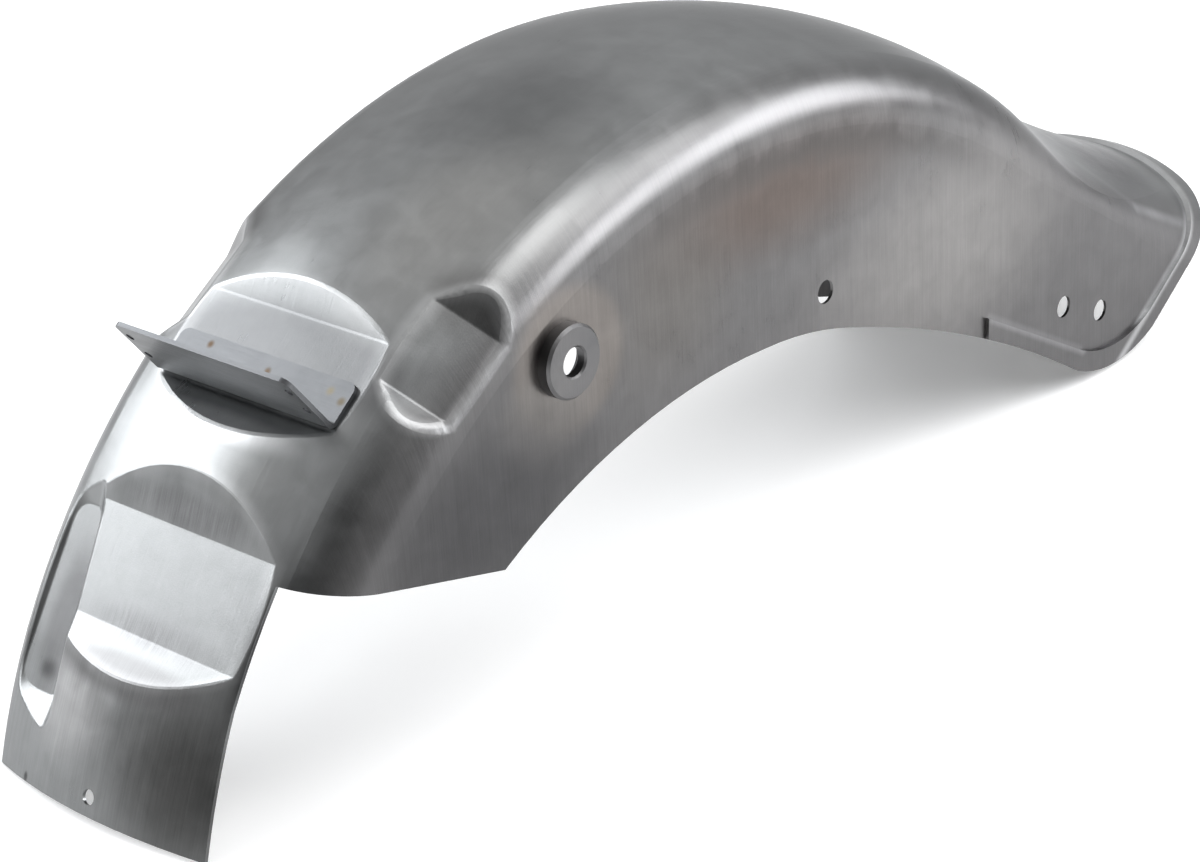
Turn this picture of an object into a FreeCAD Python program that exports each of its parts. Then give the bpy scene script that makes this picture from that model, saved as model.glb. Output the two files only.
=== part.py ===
"""Bobbed steel rear fender for a motorcycle: one pressed sheet shell with its welded pieces.

Millimetres. +Z is up and the front of the fender (its apron) points to -X.
The shell is drawn about the wheel axis, which is the Y axis while it is drawn.
Angles are measured about that axis from the front horizontal, over the top, to the rear.
"""
import FreeCAD
import Part
import math
import os
import Sketcher

DRIVING_SIZES = {
    # the hoop over the tyre
    "crown_radius": 350.0,
    "skirt_span": 166.0,
    "crown_arc": 205.0,
    "shoulder_arc": 30.0,
    "sheet_wall": 1.5,
    "foot_radius": 200.0,
    "apron_angle": 19.5,
    "hoop_first_seam": 44.6,
    "hoop_second_seam": 71.0,
    "hoop_end_angle": 118.0,
    "flare_start_angle": 126.6,
    # the ducktail: lift of the crown over the hoop at four stations
    "rise_angle": 138.3,
    "rise_lift": 11.0,
    "rise_arc": 125.0,
    "rise_shoulder": 16.0,
    "rise_slant": 72.0,
    "kick_angle": 148.0,
    "kick_lift": 41.0,
    "kick_arc": 110.0,
    "kick_shoulder": 26.0,
    "kick_slant": 56.0,
    "lip_angle": 155.6,
    "lip_lift": 84.2,
    "lip_arc": 105.0,
    "lip_shoulder": 60.0,
    "lip_slant": 43.0,
    "overrun_angle": 161.0,
    "overrun_lift": 136.8,
    "overrun_arc": 110.0,
    "overrun_shoulder": 66.0,
    "overrun_slant": 39.0,
    # the side outline of the skirts
    "toe_run": 168.7,
    "toe_rise": 184.3,
    "toe_slope": 15.2,
    "front_arch_arc": 309.0,
    "arch_top_rise": 221.3,
    "arch_turn_arc": 215.0,
    "heel_start_run": 61.0,
    "heel_start_rise": 210.0,
    "heel_arc": 760.0,
    "heel_end_run": 243.6,
    "heel_end_rise": 122.5,
    "heel_corner_arc": 78.0,
    "rear_foot_run": 311.5,
    "rear_foot_rise": 123.3,
    "rear_slope": 34.5,
    # the edge strip that is stepped outward round the heels and the lip
    "strip_step": 2.0,
    "strip_width": 10.5,
    "strip_start_run": 166.0,
    "strip_start_rise": 178.0,
    "heel_slope": 23.0,
    # the apron
    "apron_near_top": 57.5,
    "apron_near_foot": 60.5,
    "apron_kink_rise": 168.0,
    "apron_foot_rise": 114.0,
    "apron_far_top": 78.0,
    "apron_far_foot": 66.0,
    "apron_far_kink_rise": 200.0,
    "apron_hole": 6.5,
    "apron_hole_angle": 20.8,
    # the flat seats pressed across the crown
    "upper_seat_angle": 52.4,
    "upper_seat_depth": 7.2,
    "upper_seat_length": 42.0,
    "upper_seat_high_slope": 22.0,
    "upper_seat_low_slope": 20.0,
    "lower_seat_angle": 35.6,
    "lower_seat_depth": 8.0,
    "lower_seat_length": 46.2,
    "lower_seat_high_slope": 11.5,
    "lower_seat_low_slope": 17.8,
    # the shoulder seats, one on each side
    "corner_seat_angle": 56.8,
    "corner_seat_depth": 49.0,
    "corner_seat_length": 40.0,
    "corner_seat_high_slope": 15.0,
    "corner_seat_low_slope": 22.5,
    "corner_seat_lean": 38.8,
    # the flat-floored channel down the far side of the apron
    "channel_angle": 32.1,
    "channel_depth": 13.5,
    "channel_length": 79.0,
    "channel_high_slope": 18.0,
    "channel_low_slope": 26.0,
    "channel_inboard_offset": 43.4,
    "channel_inboard_turn": 6.1,
    "channel_inboard_slope": 60.0,
    "channel_inboard_corner": 8.0,
    "channel_outboard_offset": 64.3,
    "channel_outboard_turn": -1.0,
    "channel_outboard_slope": 22.0,
    "channel_outboard_corner": 28.0,
    # the rounded edges of everything that is pressed in
    "apron_round": 2.5,
    "apron_round_end": 46.0,
    "seat_bend_round": 4.0,
    "seat_rim_round": 4.0,
    "shoulder_rim_round": 8.0,
    # holes through the skirts
    "stay_hole": 11.0,
    "stay_hole_run": 43.7,
    "stay_hole_margin": 12.0,
    "tail_hole": 11.0,
    "tail_hole_run": 232.4,
    "tail_hole_rise": 160.6,
    "tail_hole_spacing": 35.1,
    "tail_hole_slope": 21.9,
    # the weld-on bosses
    "boss_diameter": 32.0,
    "boss_bore": 12.7,
    "boss_height": 6.0,
    "boss_chamfer": 1.2,
    "bore_chamfer": 0.8,
    "bore_back_chamfer": 1.5,
    "boss_sheet_hole": 18.0,
    "boss_drop": 58.5,
    "boss_angle": 64.2,
    # the cross bracket on the upper seat
    "bracket_length": 101.0,
    "bracket_setback": 0.3,
    "bracket_base": 21.0,
    "bracket_flange": 36.0,
    "bracket_wall": 2.0,
    "bracket_corner": 4.0,
    "bracket_fold": 1.2,
    "bracket_hole": 4.0,
    "bracket_hole_span": 92.6,
    "bracket_hole_low": 14.1,
    "bracket_hole_pitch": 13.5,
}

doc = FreeCAD.newDocument("RearFender")


class Size:
    """A length or angle that carries its number and the expression that drives it."""

    def __init__(self, value, text):
        self.value = float(value)
        self.text = text

    def __add__(self, other):
        other = as_size(other)
        return Size(self.value + other.value, f"({self.text} + {other.text})")

    def __sub__(self, other):
        other = as_size(other)
        return Size(self.value - other.value, f"({self.text} - {other.text})")

    def __mul__(self, other):
        other = as_size(other)
        return Size(self.value * other.value, f"({self.text} * {other.text})")

    def __truediv__(self, other):
        other = as_size(other)
        return Size(self.value / other.value, f"({self.text} / {other.text})")

    def __neg__(self):
        return Size(-self.value, f"(0 - {self.text})")


def as_size(number):
    return number if isinstance(number, Size) else Size(number, str(float(number)))


def sine(angle):
    return Size(math.sin(math.radians(angle.value)), f"sin({angle.text})")


def cosine(angle):
    return Size(math.cos(math.radians(angle.value)), f"cos({angle.text})")


def tangent(angle):
    return Size(math.tan(math.radians(angle.value)), f"tan({angle.text})")


def make_sheet():
    sheet = doc.addObject("Spreadsheet::Sheet", "Sizes")
    for row, (alias, number) in enumerate(DRIVING_SIZES.items(), start=1):
        sheet.set(f"A{row}", alias.replace("_", " "))
        sheet.set(f"B{row}", str(number))
        sheet.setAlias(f"B{row}", alias)
    doc.recompute()
    return sheet


sheet = make_sheet()


def size(alias):
    return Size(getattr(sheet, alias), f"Sizes.{alias}")


def polar(radius, angle):
    """Run and rise of a point at a radius and an angle about the wheel axis."""
    return -(radius * cosine(angle)), radius * sine(angle)


def make_body(name):
    return doc.addObject("PartDesign::Body", name)


def plane_of(body, role):
    return next(plane for plane in body.Origin.OriginFeatures if plane.Role == role)


def make_sketch(body, name, role, turn=None, turn_axis=None):
    """A sketch on an origin plane, turned about the wheel axis when an angle is given."""
    sketch = body.newObject("Sketcher::SketchObject", name)
    sketch.AttachmentSupport = [(plane_of(body, role), "")]
    sketch.MapMode = "FlatFace"
    if turn is not None:
        rotation = FreeCAD.Rotation(turn_axis, turn.value)
        sketch.AttachmentOffset = FreeCAD.Placement(FreeCAD.Vector(), rotation)
        sketch.setExpression(".AttachmentOffset.Rotation.Angle", turn.text)
    return sketch


def section_sketch(body, name, angle):
    """A sketch whose vertical axis points out from the wheel axis at the angle."""
    return make_sketch(body, name, "YZ_Plane", angle - 90, FreeCAD.Vector(1, 0, 0))


def side_sketch(body, name, angle):
    """A side-view sketch whose vertical axis points out from the wheel axis at the angle."""
    return make_sketch(body, name, "XZ_Plane", as_size(90) - angle, FreeCAD.Vector(0, 0, 1))


def constrain(sketch, kind, *items):
    """Adds a constraint; a Size at the end gives it its value and its expression."""
    last = items[-1]
    if not isinstance(last, Size):
        return sketch.addConstraint(Sketcher.Constraint(kind, *items))
    index = sketch.addConstraint(Sketcher.Constraint(kind, *items[:-1], last.value))
    sketch.setExpression(f"Constraints[{index}]", last.text)
    return index


def arc_between(start, end, radius):
    """The shorter arc from start to end; a positive radius bends it to the left of the run."""
    chord = end - start
    middle = (start + end) * 0.5
    normal = FreeCAD.Vector(-chord.y, chord.x, 0).normalize()
    reach = math.sqrt(max(radius * radius - chord.Length * chord.Length / 4, 0.0))
    centre = middle + normal * math.copysign(reach, radius)
    outward = (middle - centre).normalize()
    return Part.Arc(start, centre + outward * abs(radius), end)


def draw_outline(sketch, corners, arcs=None):
    """A closed outline through the corners; arcs maps a side's number to its signed radius."""
    arcs = arcs or {}
    points = [FreeCAD.Vector(run.value, rise.value, 0) for run, rise in corners]
    starts = []
    for side, start in enumerate(points):
        end = points[(side + 1) % len(points)]
        if side in arcs:
            radius, bend = arcs[side]
            index = sketch.addGeometry(arc_between(start, end, radius.value * bend), False)
            starts.append(first_end(sketch, index, start))
            constrain(sketch, "Radius", index, radius)
        else:
            index = sketch.addGeometry(Part.LineSegment(start, end), False)
            starts.append(1)
    for side, (run, rise) in enumerate(corners):
        before = (side - 1) % len(corners)
        constrain(sketch, "Coincident", before, 3 - starts[before], side, starts[side])
        constrain(sketch, "DistanceX", -1, 1, side, starts[side], run)
        constrain(sketch, "DistanceY", -1, 1, side, starts[side], rise)


def first_end(sketch, index, start):
    """Which end of the arc lies at the start: arcs always run counter-clockwise."""
    return 1 if sketch.getPoint(index, 1).isEqual(start, 1e-4) else 2


def draw_circle(sketch, run, rise, diameter):
    centre = FreeCAD.Vector(run.value, rise.value, 0)
    circle = Part.Circle(centre, FreeCAD.Vector(0, 0, 1), diameter.value / 2)
    index = sketch.addGeometry(circle, False)
    constrain(sketch, "Diameter", index, diameter)
    constrain(sketch, "DistanceX", -1, 1, index, 3, run)
    constrain(sketch, "DistanceY", -1, 1, index, 3, rise)


def draw_arch(sketch, half_width, crown, arc, shoulder, foot):
    """The filled cross-section: flat skirts, round shoulders and a gently arched crown."""
    wide, top, big, small = half_width.value, crown.value, arc.value, shoulder.value
    shoulder_run = wide - small
    shoulder_rise = top - big + math.sqrt((big - small) ** 2 - shoulder_run ** 2)
    lean = math.atan2(shoulder_run, shoulder_rise - top + big)
    axis = FreeCAD.Vector(0, 0, 1)
    low = foot.value

    def point(run, rise):
        return FreeCAD.Vector(run, rise, 0)

    right = sketch.addGeometry(Part.LineSegment(point(wide, low), point(wide, shoulder_rise)), False)
    circle = Part.Circle(point(shoulder_run, shoulder_rise), axis, small)
    right_round = sketch.addGeometry(Part.ArcOfCircle(circle, 0, math.pi / 2 - lean), False)
    circle = Part.Circle(point(0, top - big), axis, big)
    roof = sketch.addGeometry(Part.ArcOfCircle(circle, math.pi / 2 - lean, math.pi / 2 + lean), False)
    circle = Part.Circle(point(-shoulder_run, shoulder_rise), axis, small)
    left_round = sketch.addGeometry(Part.ArcOfCircle(circle, math.pi / 2 + lean, math.pi), False)
    left = sketch.addGeometry(Part.LineSegment(point(-wide, shoulder_rise), point(-wide, low)), False)
    base = sketch.addGeometry(Part.LineSegment(point(-wide, low), point(wide, low)), False)

    for first, second in ((right, right_round), (right_round, roof), (roof, left_round), (left_round, left)):
        constrain(sketch, "Tangent", first, 2, second, 1)
    constrain(sketch, "Coincident", left, 2, base, 1)
    constrain(sketch, "Coincident", base, 2, right, 1)
    constrain(sketch, "Vertical", right)
    constrain(sketch, "Vertical", left)
    constrain(sketch, "Horizontal", base)
    constrain(sketch, "PointOnObject", roof, 3, -2)
    constrain(sketch, "Equal", right_round, left_round)
    constrain(sketch, "Radius", roof, arc)
    constrain(sketch, "Radius", right_round, shoulder)
    constrain(sketch, "DistanceX", -1, 1, right, 1, half_width)
    constrain(sketch, "DistanceY", -1, 1, roof, 3, crown - arc)
    constrain(sketch, "DistanceY", -1, 1, right, 1, foot)


def make_pad(body, sketch, length, both_ways=True):
    pad = body.newObject("PartDesign::Pad", sketch.Name + "Pad")
    pad.Profile = sketch
    pad.Length = length.value
    pad.setExpression("Length", length.text)
    pad.Midplane = both_ways
    return pad


def hoop_sizes(inset, deeper):
    """Half width, crown, roof arc, shoulder arc and foot of the hoop's cross-section."""
    return (
        size("skirt_span") / 2 - inset,
        size("crown_radius") - inset,
        size("crown_arc") - inset,
        size("shoulder_arc") - inset,
        size("foot_radius") - deeper,
    )


def add_tail(body, name, inset, deeper):
    """The ducktail: a loft that leaves the hoop at its end and lifts away from the wheel."""
    half_width, crown, arc, shoulder, foot = hoop_sizes(inset, deeper)
    hoop_end, flare_start = size("hoop_end_angle"), size("flare_start_angle")
    angles = (hoop_end, (hoop_end + flare_start) / 2, flare_start)
    stations = [(angle, crown, arc, shoulder) for angle in angles]
    for station in ("rise", "kick", "lip", "overrun"):
        lifted = size("crown_radius") + size(station + "_lift")
        stations.append((
            size(station + "_angle"),
            lifted - inset / sine(size(station + "_slant")),
            size(station + "_arc") - inset,
            size(station + "_shoulder") - inset,
        ))
    sketches = []
    for number, (angle, top, roof_arc, side_arc) in enumerate(stations):
        sketch = section_sketch(body, f"{name}Station{number}", angle)
        draw_arch(sketch, half_width, top, roof_arc, side_arc, foot)
        sketches.append(sketch)
    loft = body.newObject("PartDesign::AdditiveLoft", name + "Tail")
    loft.Profile = sketches[0]
    loft.Sections = sketches[1:]
    loft.Refine = False


def make_form(name, inset, early, deeper):
    """The solid inside a skin of the fender: the hoop turned about the axle, then the ducktail."""
    body = make_body(name)
    first, second = size("hoop_first_seam"), size("hoop_second_seam")
    spans = [(size("apron_angle") - early, first), (first, second), (second, size("hoop_end_angle"))]
    for number, (start, end) in enumerate(spans):
        hoop = section_sketch(body, f"{name}Hoop{number}", start)
        draw_arch(hoop, *hoop_sizes(inset, deeper))
        turned = body.newObject("PartDesign::Revolution", f"{name}Turned{number}")
        turned.Profile = hoop
        turned.ReferenceAxis = (hoop, ["H_Axis"])
        turned.Refine = False
        sweep = end - start
        turned.Angle = sweep.value
        turned.setExpression("Angle", sweep.text)
    add_tail(body, name, inset, deeper)
    return body


def make_strip_zone(name, inset):
    """The side-view zone where the sheet is stepped outward; the inset keeps the step one wall thick."""
    body = make_body(name)
    sketch = make_sketch(body, name + "Outline", "XZ_Plane")
    width = size("strip_width") - inset
    far = size("crown_radius")
    slope, lean = size("rear_slope"), size("heel_slope")
    foot_run, foot_rise = size("rear_foot_run"), size("rear_foot_rise")
    start_run, start_rise = size("strip_start_run") + inset * 2, size("strip_start_rise") - inset
    top_run, top_rise = foot_run - width * sine(slope), foot_rise + width * cosine(slope)
    corners = [
        (start_run, start_rise),
        (size("heel_end_run") + width * sine(lean), size("heel_end_rise") + width * cosine(lean)),
        (foot_run - width * sine(slope / 2), foot_rise + width * cosine(slope / 2)),
        (top_run + far * cosine(slope), top_rise + far * sine(slope)),
        (foot_run + far * 2, foot_rise + far * sine(slope)),
        (foot_run + far * 2, -far / 4),
        (start_run, -far / 4),
    ]
    draw_outline(sketch, corners, {1: (size("heel_corner_arc") - width, 1)})
    make_pad(body, sketch, size("skirt_span") * 1.5)
    return body


def make_strip(name, inset, deeper):
    """The stepped edge strip of one skin."""
    form = make_body(name + "Form")
    add_tail(form, name + "Form", inset - size("strip_step"), deeper)
    strip = doc.addObject("Part::MultiCommon", name)
    strip.Shapes = [form, make_strip_zone(name + "Zone", inset)]
    strip.Refine = False
    return strip


def draw_seat(sketch, prefix, growth):
    """A flat seat with two sloping walls, open to the outside; growth moves its faces inward."""
    height = size("crown_radius") - size(prefix + "_depth")
    half_length = size(prefix + "_length") / 2
    high_slope = size(prefix + "_high_slope")
    low_slope = size(prefix + "_low_slope")
    reach = size("skirt_span") / 8
    high = half_length + growth * tangent(high_slope / 2)
    low = half_length + growth * tangent(low_slope / 2)
    high_top = high + (reach + growth) / tangent(high_slope)
    low_top = low + (reach + growth) / tangent(low_slope)
    draw_outline(sketch, [
        (-low, height - growth),
        (high, height - growth),
        (high_top, height + reach),
        (-low_top, height + reach),
    ])


def make_cross_seat(name, prefix, growth):
    body = make_body(name)
    sketch = side_sketch(body, name + "Outline", size(prefix + "_angle"))
    draw_seat(sketch, prefix, growth)
    make_pad(body, sketch, size("skirt_span") * 1.2)
    return body


def make_corner_seat(name, growth, hand):
    """A seat that lies across one shoulder; hand is -1 on the near side and 1 on the far side."""
    body = make_body(name)
    sketch = make_sketch(body, name + "Outline", "XZ_Plane")
    draw_seat(sketch, "corner_seat", growth)
    make_pad(body, sketch, size("crown_radius") * 1.2)
    about_axle = FreeCAD.Rotation(FreeCAD.Vector(0, -1, 0), 90 - size("corner_seat_angle").value)
    lean = FreeCAD.Rotation(FreeCAD.Vector(1, 0, 0), -hand * size("corner_seat_lean").value)
    body.Placement = FreeCAD.Placement(FreeCAD.Vector(), about_axle.multiply(lean))
    return body


def make_channel_side(name, side, hand, growth):
    """What lies inside one of the channel's side walls; hand is the way to the wall."""
    body = make_body(name)
    sketch = make_sketch(body, name + "Outline", "YZ_Plane")
    height = size("crown_radius") - size("channel_depth")
    reach = size("skirt_span") / 8
    slope = size(f"channel_{side}_slope")
    foot = size(f"channel_{side}_offset") + growth * tangent(slope / 2) * hand
    top = foot + (reach + growth) / tangent(slope) * hand
    inside = size(f"channel_{side}_offset") - size("skirt_span") * hand
    draw_outline(sketch, [
        (foot, height - growth),
        (top, height + reach),
        (inside, height + reach),
        (inside, height - growth),
    ])
    make_pad(body, sketch, size("crown_radius"))
    about_axle = FreeCAD.Rotation(FreeCAD.Vector(0, -1, 0), 90 - size("channel_angle").value)
    turn = FreeCAD.Rotation(FreeCAD.Vector(0, 0, 1), size(f"channel_{side}_turn").value)
    body.Placement = FreeCAD.Placement(FreeCAD.Vector(), about_axle.multiply(turn))
    return body


def make_channel(name, growth):
    """A slanting recess with a flat floor, round corners and a steep wall on its inboard side."""
    walls = doc.addObject("Part::MultiCommon", name + "Walls")
    walls.Refine = False
    walls.Shapes = [
        make_cross_seat(name + "Ends", "channel", growth),
        make_channel_side(name + "Inboard", "inboard", -1, growth),
        make_channel_side(name + "Outboard", "outboard", 1, growth),
    ]
    doc.recompute()
    run, rise = polar(as_size(1), size("channel_angle"))
    upward = FreeCAD.Vector(run.value, 0, rise.value)
    floor = (size("crown_radius") - size("channel_depth") - growth).value
    middle = (size("channel_inboard_offset").value + size("channel_outboard_offset").value) / 2
    corners = []
    for number, edge in enumerate(walls.Shape.Edges, start=1):
        low, high = sorted((vertex.Point for vertex in edge.Vertexes), key=upward.dot)
        if abs(low.dot(upward) - floor) < 0.1 and high.dot(upward) - floor > 1:
            side = "inboard" if low.y < middle else "outboard"
            radius = size(f"channel_{side}_corner") + growth
            corners.append((number, radius.value, radius.value))
    rounded = doc.addObject("Part::Fillet", name)
    rounded.Base = walls
    rounded.Edges = corners
    return rounded


def join(name, pieces):
    fused = doc.addObject("Part::MultiFuse", name)
    fused.Shapes = pieces
    fused.Refine = False
    return fused


def cut(name, base, tool):
    result = doc.addObject("Part::Cut", name)
    result.Base = base
    result.Tool = tool
    result.Refine = False
    return result


def make_pressings(name, growth):
    """Everything that is pressed into the crown, for one skin of the sheet."""
    pieces = [
        make_cross_seat(name + "Upper", "upper_seat", growth),
        make_cross_seat(name + "Lower", "lower_seat", growth),
        make_corner_seat(name + "Near", growth, -1),
        make_corner_seat(name + "Far", growth, 1),
        make_channel(name + "Channel", growth),
    ]
    return join(name, pieces)


def bend_of(skin, edge):
    """1 where the skin's two faces meet in a ridge, -1 in a valley, 0 where they run on smoothly."""
    middle = edge.valueAt((edge.FirstParameter + edge.LastParameter) / 2)
    faces = skin.ancestorsOfType(edge, Part.Face)
    if len(faces) != 2:
        return 0
    normals = [face.normalAt(*face.Surface.parameter(middle)) for face in faces]
    if normals[0].getAngle(normals[1]) < math.radians(3):
        return 0
    along = edge.tangentAt((edge.FirstParameter + edge.LastParameter) / 2)
    inward = normals[0].cross(along).normalize()
    probe = faces[0].Surface.parameter(middle + inward * 0.02)
    if not faces[0].isPartOfDomain(*probe):
        inward = -inward
    return 1 if inward.dot(normals[1]) < 0 else -1


def edge_round(place, bend, inset):
    """The radius of a rounded edge: fine on the apron, softer on the crown and the shoulders."""
    shoulder = size("skirt_span") / 2 - size("shoulder_arc") / 2
    if math.degrees(math.atan2(place.z, -place.x)) < size("apron_round_end").value:
        radius = size("apron_round")
    elif bend < 0:
        radius = size("seat_bend_round")
    elif abs(place.y) > shoulder.value:
        radius = size("shoulder_rim_round")
    else:
        radius = size("seat_rim_round")
    return radius.value - inset.value * bend


def round_edges(name, skin, pressings, inset):
    """Rounds the ridges and valleys that the pressings leave on one skin of the sheet."""
    doc.recompute()
    pressed = Part.makeCompound(pressings.Shape.Faces)
    edges = []
    for number, edge in enumerate(skin.Shape.Edges, start=1):
        middle = edge.valueAt((edge.FirstParameter + edge.LastParameter) / 2)
        bend = bend_of(skin.Shape, edge)
        if bend and pressed.distToShape(Part.Vertex(middle))[0] < 1e-3:
            radius = edge_round(middle, bend, inset)
            edges.append((number, radius, radius))
    fillet = doc.addObject("Part::Fillet", name)
    fillet.Base = skin
    fillet.Edges = edges
    return fillet


def make_skirt_trim():
    """What is cut away under the skirts and behind the tail."""
    body = make_body("SkirtTrim")
    sketch = make_sketch(body, "SkirtOutline", "XZ_Plane")
    far = size("crown_radius")
    slope = size("rear_slope")
    rear_run, rear_rise = size("rear_foot_run"), size("rear_foot_rise")
    corners = [
        (-size("toe_run"), size("toe_rise")),
        (as_size(0.5), size("arch_top_rise")),
        (size("heel_start_run"), size("heel_start_rise")),
        (size("heel_end_run"), size("heel_end_rise")),
        (rear_run, rear_rise),
        (rear_run + far * cosine(slope), rear_rise + far * sine(slope)),
        (rear_run + far * cosine(slope), -far / 4),
        (-size("toe_run"), -far / 4),
    ]
    arcs = {
        0: (size("front_arch_arc"), -1),
        1: (size("arch_turn_arc"), -1),
        2: (size("heel_arc"), -1),
        3: (size("heel_corner_arc"), 1),
    }
    draw_outline(sketch, corners, arcs)
    make_pad(body, sketch, size("skirt_span") * 1.5)
    return body


def make_apron_trim():
    """What is cut away beside the apron, under the sloping front edge of the skirts."""
    body = make_body("ApronTrim")
    front = make_sketch(body, "ApronFront", "YZ_Plane")
    top = size("toe_rise") + size("toe_run")
    outside = size("skirt_span")
    below = -size("toe_run")
    draw_ring(front, [
        (-size("apron_near_top"), top),
        (-size("apron_near_top"), size("apron_kink_rise")),
        (-size("apron_near_foot"), size("apron_foot_rise")),
        (-size("apron_near_foot"), below),
        (-outside, below),
        (-outside, top),
    ])
    draw_ring(front, [
        (size("apron_far_top"), top),
        (size("apron_far_top"), size("apron_far_kink_rise")),
        (size("apron_far_foot"), size("apron_foot_rise")),
        (size("apron_far_foot"), below),
        (outside, below),
        (outside, top),
    ])
    block = make_pad(body, front, size("crown_radius") * 2.5, False)
    block.Reversed = True
    above = make_sketch(body, "ToeSlope", "XZ_Plane")
    slope = size("toe_slope")
    run, rise = size("toe_run"), size("toe_rise")
    reach = size("crown_radius")
    draw_outline(above, [
        (-run, rise),
        (-run - reach * cosine(slope), rise + reach * sine(slope)),
        (-run - reach * cosine(slope), top + reach),
        (reach / 10, top + reach),
        (reach / 10, below * 2),
        (-run, below * 2),
    ])
    pocket = body.newObject("PartDesign::Pocket", "ToeSlopePocket")
    pocket.Profile = above
    pocket.Type = "ThroughAll"
    pocket.Midplane = True
    return body


def draw_ring(sketch, corners):
    """One more closed outline of straight sides in a sketch that may already hold some."""
    first = sketch.GeometryCount
    points = [FreeCAD.Vector(run.value, rise.value, 0) for run, rise in corners]
    for side, start in enumerate(points):
        sketch.addGeometry(Part.LineSegment(start, points[(side + 1) % len(points)]), False)
    for side, (run, rise) in enumerate(corners):
        before = (side - 1) % len(corners)
        constrain(sketch, "Coincident", first + before, 2, first + side, 1)
        constrain(sketch, "DistanceX", -1, 1, first + side, 1, run)
        constrain(sketch, "DistanceY", -1, 1, first + side, 1, rise)


def skirt_holes():
    """Centre and diameter of each hole that goes through both skirts."""
    boss = polar(size("crown_radius") - size("boss_drop"), size("boss_angle"))
    stay = (size("stay_hole_run"), size("arch_top_rise") + size("stay_hole_margin"))
    run, rise = size("tail_hole_run"), size("tail_hole_rise")
    slope, spacing = size("tail_hole_slope"), size("tail_hole_spacing")
    second = (run + spacing * cosine(slope), rise - spacing * sine(slope))
    return [
        (boss, size("boss_sheet_hole")),
        (stay, size("stay_hole")),
        ((run, rise), size("tail_hole")),
        (second, size("tail_hole")),
    ]


def make_hole_forms():
    side = make_body("SkirtHoles")
    sketch = make_sketch(side, "SkirtHoleCircles", "XZ_Plane")
    for (run, rise), diameter in skirt_holes():
        draw_circle(sketch, run, rise, diameter)
    make_pad(side, sketch, size("skirt_span") * 1.5)
    bore = doc.addObject("Part::Cylinder", "ApronBore")
    radius, reach = size("apron_hole") / 2, size("crown_radius") * 1.5
    bore.Radius = radius.value
    bore.setExpression("Radius", radius.text)
    bore.Height = reach.value
    bore.setExpression("Height", reach.text)
    run, rise = polar(as_size(1), size("apron_hole_angle"))
    outward = FreeCAD.Vector(run.value, 0, rise.value)
    bore.Placement = FreeCAD.Placement(FreeCAD.Vector(), FreeCAD.Rotation(FreeCAD.Vector(0, 0, 1), outward))
    return [side, bore]


def make_shell():
    skins = []
    for side, inset, early, deeper in (("Outer", as_size(0), 0, 0), ("Inner", size("sheet_wall"), 2, 8)):
        pressings = make_pressings(side + "Pressings", inset)
        sharp = cut(side + "Sharp", make_form(side + "Form", inset, early, deeper), pressings)
        rounded = round_edges(side + "Rounded", sharp, pressings, inset)
        skins.append(join(side + "Skin", [rounded, make_strip(side + "Strip", inset, deeper)]))
    sheet_form = cut("SheetForm", *skins)
    openings = join("Openings", [make_skirt_trim(), make_apron_trim()] + make_hole_forms())
    shell = cut("FenderShell", sheet_form, openings)
    shell.Label = "fender_shell"
    return shell


def make_boss(name, label, hand):
    """A thick chamfered washer welded to the outside of a skirt; hand is -1 at -Y, 1 at +Y."""
    body = make_body(name)
    body.Label = label
    sketch = make_sketch(body, name + "Ring", "XZ_Plane")
    run, rise = polar(size("crown_radius") - size("boss_drop"), size("boss_angle"))
    draw_circle(sketch, run, rise, size("boss_diameter"))
    draw_circle(sketch, run, rise, size("boss_bore"))
    half = size("skirt_span") / 2
    place = FreeCAD.Vector(0, 0, -hand * half.value)
    sketch.AttachmentOffset = FreeCAD.Placement(place, FreeCAD.Rotation())
    sketch.setExpression(".AttachmentOffset.Base.z", (half * -hand).text)
    pad = make_pad(body, sketch, size("boss_height"), False)
    pad.Reversed = hand > 0
    doc.recompute()
    free_face = hand * (half.value + size("boss_height").value)
    welded_face = hand * half.value
    rim = add_chamfer(body, pad, free_face, "boss_diameter", "boss_chamfer")
    mouth = add_chamfer(body, rim, free_face, "boss_bore", "bore_chamfer")
    add_chamfer(body, mouth, welded_face, "boss_bore", "bore_back_chamfer")
    return body


def add_chamfer(body, base, side, diameter, width):
    """Breaks the round edge of the named diameter that lies in the plane Y = side."""
    doc.recompute()
    across = size(diameter).value
    edges = [
        f"Edge{number}"
        for number, edge in enumerate(base.Shape.Edges, start=1)
        if edge.BoundBox.YLength < 1e-3
        and abs(edge.BoundBox.Center.y - side) < 1e-3
        and abs(edge.BoundBox.XLength - across) < 1e-3
    ]
    chamfer = body.newObject("PartDesign::Chamfer", f"{base.Name}Break")
    chamfer.Base = (base, edges)
    chamfer.Size = size(width).value
    chamfer.setExpression("Size", size(width).text)
    return chamfer


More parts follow.
